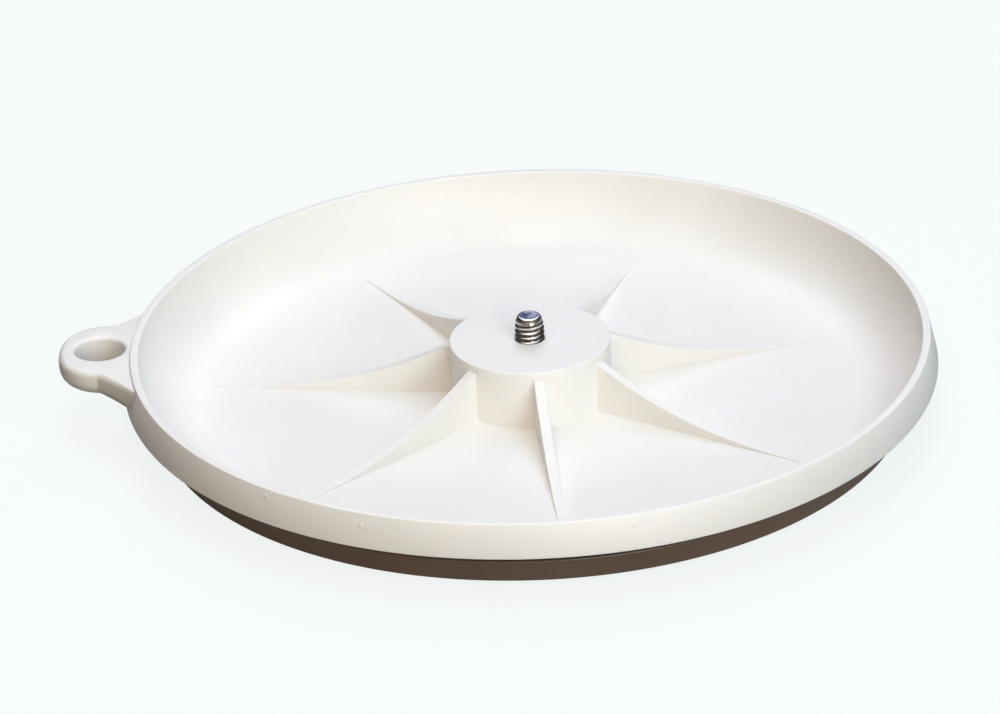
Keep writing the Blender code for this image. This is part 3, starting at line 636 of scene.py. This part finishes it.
def enamelled_pan(material):
    """The pressed pan with its leaning wall, rounded bend, stiffening bead and rolled lip."""
    lean = math.tan(PAN_LEAN)
    across = SHEET / math.cos(PAN_LEAN)
    bend = PAN_BEND
    turn = -math.degrees(PAN_LEAN)
    corner = (PAN_RADIUS + lean * bend - bend / math.cos(PAN_LEAN), PAN_LOW + bend)
    top = PAN_RADIUS + lean * (PAN_TOP - PAN_LOW)
    rise = [(4.0, 0.0), (3.3, 0.12), (2.4, 0.62), (1.6, 0.8)]
    swell = [(-x, y) for x, y in rise] + list(reversed(rise))
    outline = [
        (PAN_HOLE, PAN_LOW + 0.2),
        (PAN_HOLE + 0.2, PAN_LOW),
        *[(PAN_BEAD + x, PAN_LOW - y) for x, y in swell],
        *curve_points(corner, bend, -90.0, turn, 8),
        (top - 0.12, PAN_TOP - 0.35),
        (top - 0.25, PAN_TOP - 0.05),
        (top - 0.55, PAN_TOP),
        (top - across + 0.3, PAN_TOP - 0.02),
        (top - across - 0.02, PAN_TOP - 0.3),
        *curve_points(corner, bend - SHEET, turn, -90.0, 4),
        *[(PAN_BEAD + x, PAN_LOW + SHEET - y) for x, y in reversed(swell)],
        (PAN_HOLE, PAN_LOW + SHEET),
    ]
    pan = spun("enamelled_pan", outline, 256)
    for number in range(SCREW_COUNT):
        turn = (number + 0.5) * ROUND / SCREW_COUNT
        hole = start(
            bpy.ops.mesh.primitive_cylinder_add, "hole", vertices=32, radius=SCREW_HOLE * MM, depth=6.0 * MM,
            location=(SCREW_CIRCLE * math.cos(turn) * MM, SCREW_CIRCLE * math.sin(turn) * MM, PAN_LOW * MM),
        )
        settle(hole)
        combine(pan, hole, "DIFFERENCE")
    return finished(pan, material, "base", ["base_pan"])


def rubber_foot(name, radius, top_points):
    """A moulded foot with three grip grooves under it and a rounded edge."""
    under = [(0.0, 0.35), (1.2, 0.35), (1.5, 0.0)]
    for groove in (0.38, 0.62, 0.84):
        middle = radius * groove
        under += [(middle - 0.45, 0.0), (middle - 0.3, 0.35), (middle + 0.3, 0.35), (middle + 0.45, 0.0)]
    return spun(name, [
        *under,
        *curve_points((radius - 0.6, 0.6), 0.6, -90.0, 0.0, 5),
        *top_points,
    ], 72)


def rubber_feet(material):
    """Six feet round the pan, copied from one pattern, and a stepped one that closes the pan's hole."""
    top = [(FOOT_RADIUS, FOOT_TOP - 0.25), (FOOT_RADIUS - 0.25, FOOT_TOP), (0.0, FOOT_TOP)]
    pattern = rubber_foot("pattern_foot", FOOT_RADIUS, top)
    for number in range(FOOT_COUNT):
        turn = (number + 0.5) * ROUND / FOOT_COUNT
        foot = copied(
            pattern, f"rubber_foot_{number + 1}",
            FOOT_CIRCLE * math.cos(turn), FOOT_CIRCLE * math.sin(turn),
        )
        finished(foot, material, "base", [f"foot_{number + 1}"])
    bpy.data.objects.remove(pattern)
    radius = PAN_HOLE + 4.0
    centre = rubber_foot("rubber_centre_foot", radius, [
        (radius, FOOT_TOP - 0.2),
        (radius - 0.2, FOOT_TOP),
        (PAN_HOLE, FOOT_TOP),
        (PAN_HOLE - 0.6, FOOT_TOP - 0.6),
        (0.0, FOOT_TOP - 0.6),
    ])
    finished(centre, material, "base", ["centre_foot"])


def socket_screws(material):
    """Button-head screws with a hexagon socket, heads down under the pan."""
    pattern = spun("pattern_screw", [
        (0.0, 1.0),
        (1.5, 1.0),
        (2.1, 1.2),
        (2.5, 1.55),
        (2.7, 2.05),
        (2.7, 2.5),
        (2.5, 2.7),
        (1.5, 2.7),
        (1.5, 6.9),
        (1.2, 7.2),
        (0.0, 7.2),
    ], 48)
    socket = start(
        bpy.ops.mesh.primitive_cylinder_add, "socket", vertices=6, radius=SOCKET_FLATS / math.sqrt(3.0) * MM,
        depth=2.4 * MM, location=(0.0, 0.0, 1.0 * MM),
    )
    settle(socket)
    combine(pattern, socket, "DIFFERENCE")
    for number in range(SCREW_COUNT):
        turn = (number + 0.5) * ROUND / SCREW_COUNT
        screw = copied(
            pattern, f"socket_screw_{number + 1}",
            SCREW_CIRCLE * math.cos(turn), SCREW_CIRCLE * math.sin(turn), turn,
        )
        finished(screw, material, "base", [f"cup_screw_{number + 1}"])
    bpy.data.objects.remove(pattern)


# ---------------------------------------------------------------- studio

BACKDROP, ROOM = "#F9FDFC", "#8A7A6C"
BLUE_SCREEN, OVERHEAD_PANEL = (0.7, 0.88), (0.7, 0.82)


def studio_floor():
    """A pale floor that reads as the plain backdrop and keeps a soft shadow."""
    floor = start(bpy.ops.mesh.primitive_plane_add, "studio_floor", size=9.0)
    material = bpy.data.materials.new("pale_floor")
    material.use_nodes = True
    tree = material.node_tree
    tree.nodes.clear()
    path = add(tree, "LightPath").outputs
    bounce = add(tree, "BsdfDiffuse", in_Color=hue("#4E4239"))
    shade = add(tree, "BsdfDiffuse", in_Color=hue("#F2F4F3"))
    glow = add(tree, "Emission", in_Color=hue(BACKDROP), in_Strength=1.0)
    paper = add(tree, "MixShader", {1: glow.outputs[0], 2: shade.outputs[0]}, in_0=0.12)
    mirrored = add(tree, "MixShader", {0: path["Is Glossy Ray"], 1: bounce.outputs[0], 2: shade.outputs[0]})
    whole = add(tree, "MixShader", {0: path["Is Camera Ray"], 1: mirrored.outputs[0], 2: paper.outputs[0]})
    output = tree.nodes.new("ShaderNodeOutputMaterial")
    tree.links.new(whole.outputs[0], output.inputs[0])
    floor.data.materials.append(material)
    deselect()


def soft_lamp(name, place, size, colour, power):
    """A square soft box that faces the dish."""
    data = bpy.data.lights.new(name, "AREA")
    data.shape = "SQUARE"
    data.size = size
    data.color = hue(colour)[:3]
    data.energy = power
    lamp = bpy.data.objects.new(name, data)
    lamp.location = place
    lamp.rotation_euler = (Vector((0.0, 0.0, 0.01)) - Vector(place)).to_track_quat("-Z", "Y").to_euler()
    bpy.context.scene.collection.objects.link(lamp)


def studio_light():
    """Six soft boxes round and over the dish, and the world."""
    soft_lamp("top_box", (0.0, 0.0, 1.8), 1.3, "#E9F3FF", 15.2)
    soft_lamp("back_box", (0.0, 1.3, 1.5), 1.2, "#ECEFFF", 15.2)
    soft_lamp("high_right_box", (1.1, -1.3, 1.4), 1.0, "#C4E6FF", 14.6)
    soft_lamp("low_right_box", (0.9, -2.1, 0.4), 1.0, "#FCFFFA", 23.0)
    soft_lamp("high_front_box", (0.0, -1.6, 1.4), 1.0, "#FFDDBC", 15.2)
    soft_lamp("high_left_box", (-0.9, -0.5, 1.8), 1.0, "#FFF2D8", 1.4)
    studio_world()


def studio_world():
    """White to the camera and dim to the object, whose sheen also sees a white panel and a blue screen."""
    world = bpy.data.worlds.new("studio")
    world.use_nodes = True
    bpy.context.scene.world = world
    tree = world.node_tree
    tree.nodes.clear()
    path = add(tree, "LightPath").outputs
    way = add(tree, "SeparateXYZ", {0: add(tree, "TexCoord").outputs["Generated"]}).outputs
    first, full = BLUE_SCREEN
    behind = add(tree, "MapRange", {0: way[1]}, in_1=first, in_2=full, in_3=0.0, in_4=1.0).outputs[0]
    first, full = OVERHEAD_PANEL
    overhead = add(tree, "MapRange", {0: way[2]}, in_1=first, in_2=full, in_3=0.0, in_4=1.0).outputs[0]
    lights = (ROOM, 0.03), (ROOM, 0.4), ("#455A98", 0.8), ("#FFFDF8", 1.1), (BACKDROP, 1.0)
    room, wall, blue, panel, backdrop = [
        add(tree, "Background", in_Color=hue(code), in_Strength=strength).outputs[0]
        for code, strength in lights
    ]
    seen = add(tree, "MixShader", {0: behind, 1: wall, 2: blue}).outputs[0]
    sheen = add(tree, "MixShader", {0: overhead, 1: seen, 2: panel}).outputs[0]
    light = add(tree, "MixShader", {0: path["Is Glossy Ray"], 1: room, 2: sheen}).outputs[0]
    whole = add(tree, "MixShader", {0: path["Is Camera Ray"], 1: light, 2: backdrop})
    output = tree.nodes.new("ShaderNodeOutputWorld")
    tree.links.new(whole.outputs[0], output.inputs[0])


def studio_camera():
    """The camera that was solved from points of the rim, the hub and the ribs."""
    data = bpy.data.cameras.new("camera")
    data.sensor_width = 36.0
    data.lens = 201.7522
    data.clip_end = 20.0
    camera = bpy.data.objects.new("camera", data)
    camera.location = (0.05570284, -1.59512071, 0.81276873)
    camera.rotation_euler = [math.radians(a) for a in (63.5510027, 2.1840188, 1.2618579)]
    bpy.context.scene.collection.objects.link(camera)
    bpy.context.scene.camera = camera


# ---------------------------------------------------------------- assembly

def finish_frame_parts(steel):
    """Finishes for the parts that keep their own shape."""
    polished = ground_steel("polished_ball_steel", "#D4D4D6", "#C4C4C7", 0.06, 0.12)
    ground = ground_steel("ground_bearing_steel", "#CDCDCF", "#B4B4B8", 0.14, 0.26)
    turned = ground_steel("turned_aluminium", "#D9DADC", "#C2C3C6", 0.26, 0.4)
    spring = ground_steel("phosphated_spring_steel", "#4B4B4D", "#38383A", 0.3, 0.45)
    nylon = race_nylon()
    for name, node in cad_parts.items():
        if name.startswith(("bearing_ball", "race_ball")):
            chosen = polished
        elif name in ("bearing_inner_ring", "bearing_outer_ring", "bearing_cage"):
            chosen = ground
        elif name == "bearing_cup":
            chosen = turned
        elif name == "retaining_ring":
            chosen = spring
        elif name == "race_cage":
            chosen = nylon
        elif name in ("clamp_nut", "spacer_lower", "spacer_upper"):
            chosen = steel
        else:
            continue
        node.data.materials.clear()
        node.data.materials.append(chosen)


bpy.context.scene.view_settings.view_transform = "Standard"
studio_camera()
studio_floor()
studio_light()
steel = zinc_plate()
finish_frame_parts(steel)
printed_dish(layer_print())
centre_bolt(steel)
enamelled_pan(pan_enamel())
rubber_feet(foot_rubber())
socket_screws(steel)
deselect()
